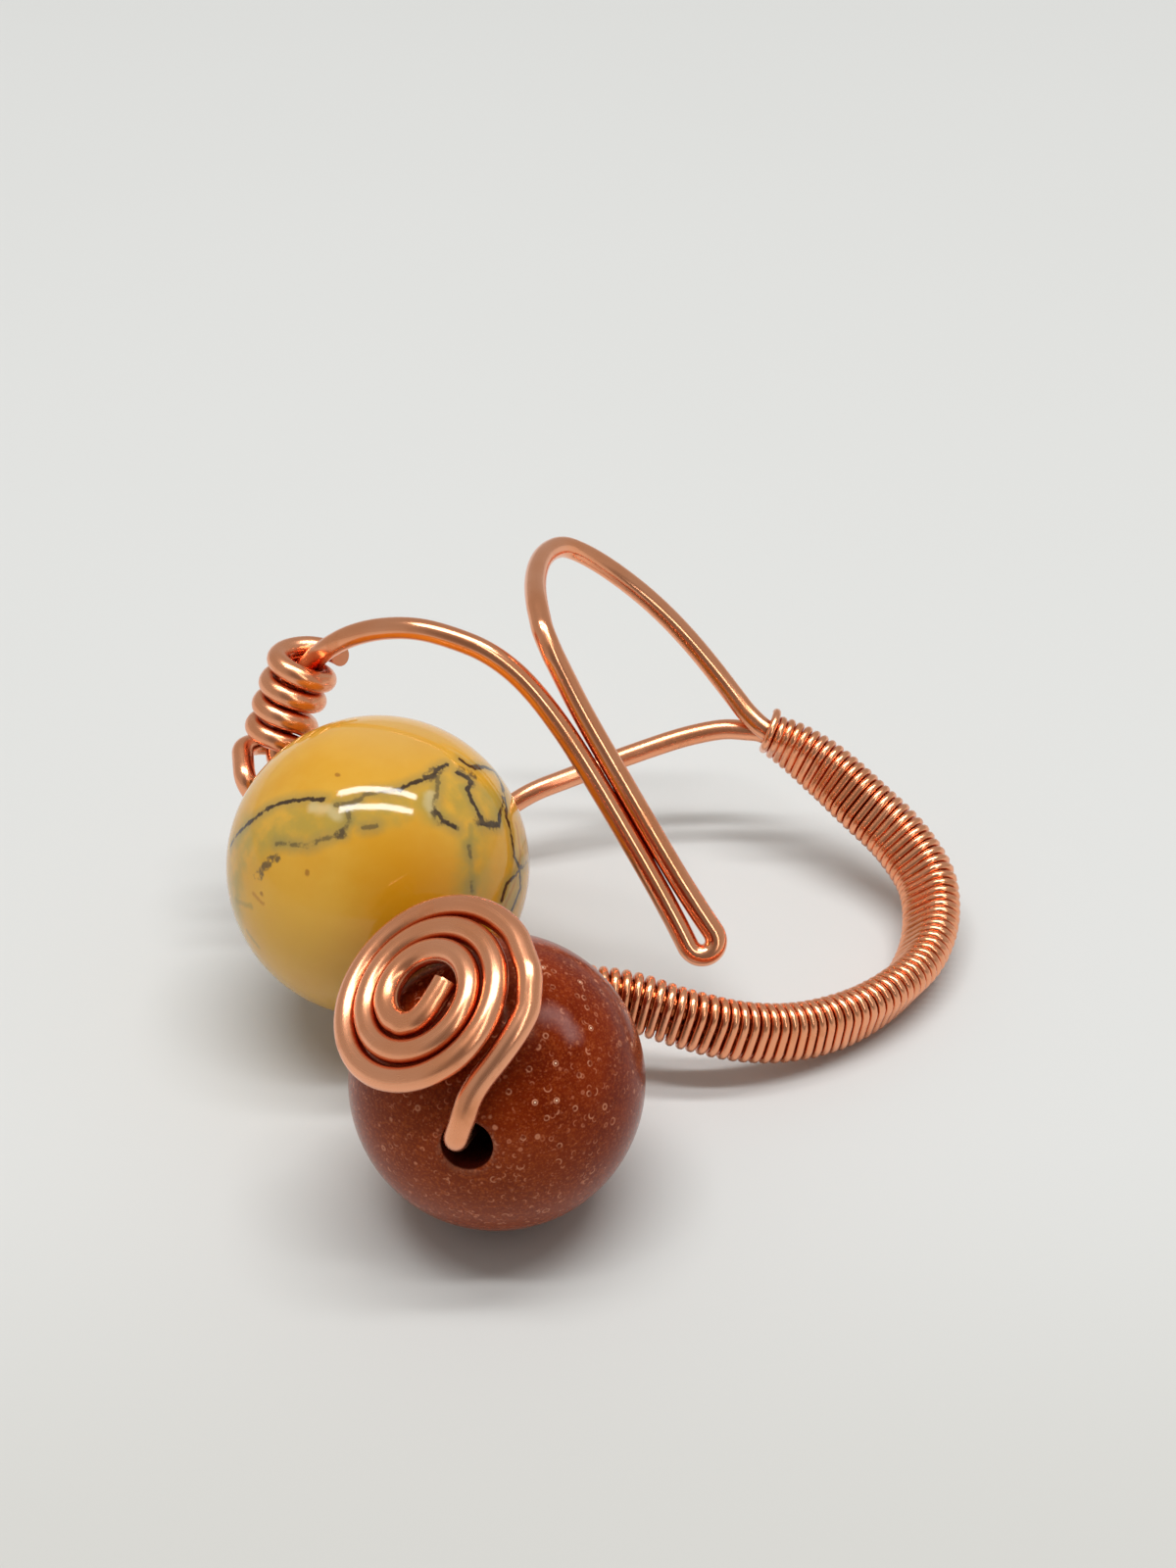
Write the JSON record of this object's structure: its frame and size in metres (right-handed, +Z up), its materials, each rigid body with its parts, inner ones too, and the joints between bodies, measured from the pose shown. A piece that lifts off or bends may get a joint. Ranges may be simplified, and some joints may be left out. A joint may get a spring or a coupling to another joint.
{
  "type": "wire wrapped ring",
  "caption": "Finger ring bent from copper wire, lying on its side, with drilled beads, a flat spiral, a hairpin loop, a small coil and a band wound with fine wire.",
  "frame": {"origin": "middle of the underside of the whole ring's bounding box, on the table that it lies on", "axes": "+X to the right in the picture, +Y away from the camera, +Z up; the finger goes through along Z"},
  "size_m": [0.034, 0.0348, 0.0169],
  "materials": {
    "goldstone": "polished, opaque, with fine copper sparkles and small bubbles",
    "howlite": "polished, dyed yellow, with grey to black veins",
    "copper": "bright copper wire, smooth, with a few plier marks",
    "fine_copper": "bright fine copper wire"
  },
  "bodies": {
    "root": {"brown_bead": "goldstone", "yellow_bead": "howlite", "spiral_wire": "copper", "hairpin_wire": "copper", "band_wrap": "fine_copper"}
  },
  "joints": []
}
